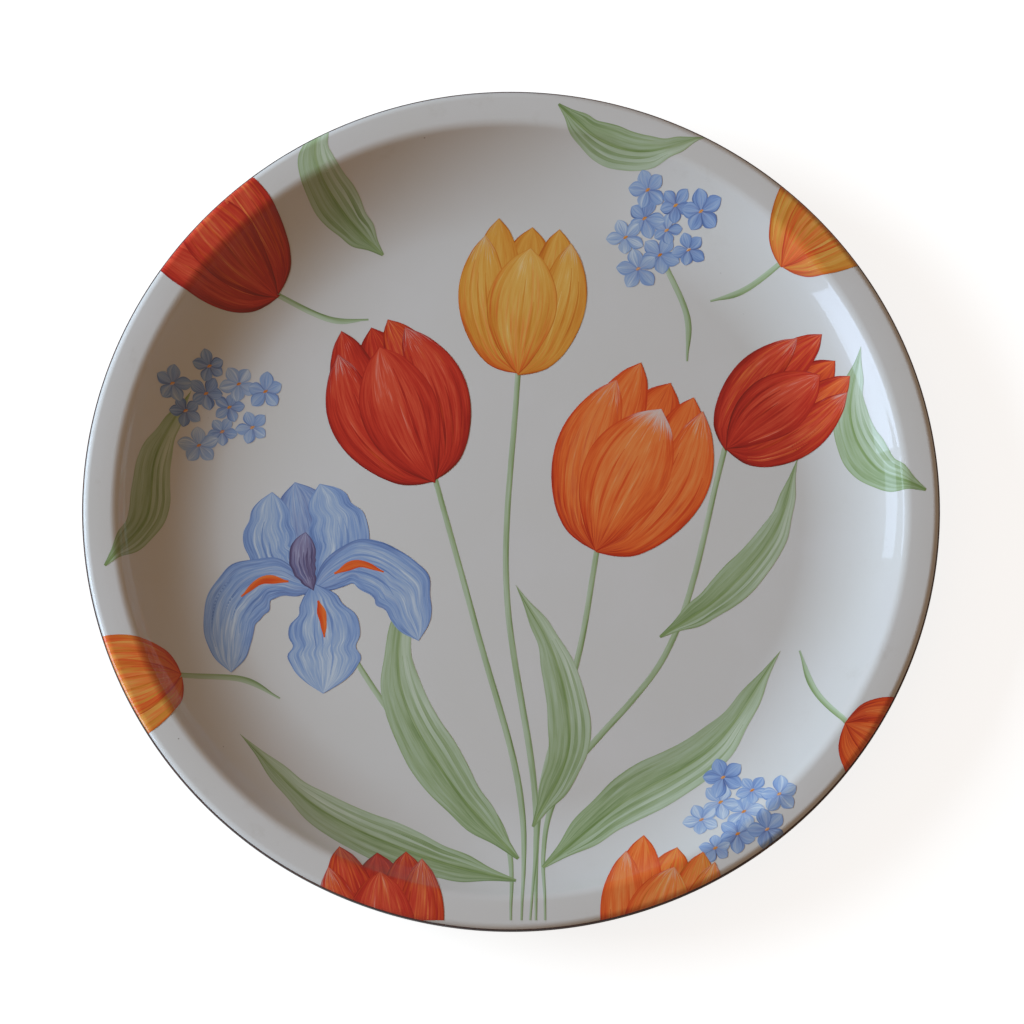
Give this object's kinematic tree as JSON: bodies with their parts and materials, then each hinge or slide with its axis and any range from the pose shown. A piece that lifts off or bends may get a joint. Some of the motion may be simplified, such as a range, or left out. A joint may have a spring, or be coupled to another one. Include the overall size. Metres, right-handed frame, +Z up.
{
  "type": "serving tray",
  "caption": "Round serving tray: flat well, coved wall, flat flange with rolled edge and a foot ring, white gloss face with a tulip and iris print, brown underside.",
  "frame": {"origin": "centre of the foot ring's bearing plane, which is the lowest plane of the tray", "axes": "+Z up along the tray's axis, out of the well; +Y towards the top of the printed picture; +X to the picture's right"},
  "size_m": [0.356, 0.356, 0.0276],
  "materials": {
    "moulded_core": "moulded wood fibre and resin, rubbed flat on the foot",
    "white_lacquer": "sprayed white lacquer, gloss",
    "printed_film": "floral colour print on thin film, under the clear coat",
    "clear_lacquer": "clear gloss lacquer with fine wear",
    "brown_edge": "dark brown resin, polished",
    "brown_base": "dark brown lacquer, satin"
  },
  "bodies": {
    "root": {"tray_core": "moulded_core", "face_lacquer": "white_lacquer", "floral_print": "printed_film", "clear_coat": "clear_lacquer", "edge_band": "brown_edge", "base_lacquer": "brown_base", "foot_well_lacquer": "brown_base"}
  },
  "joints": []
}
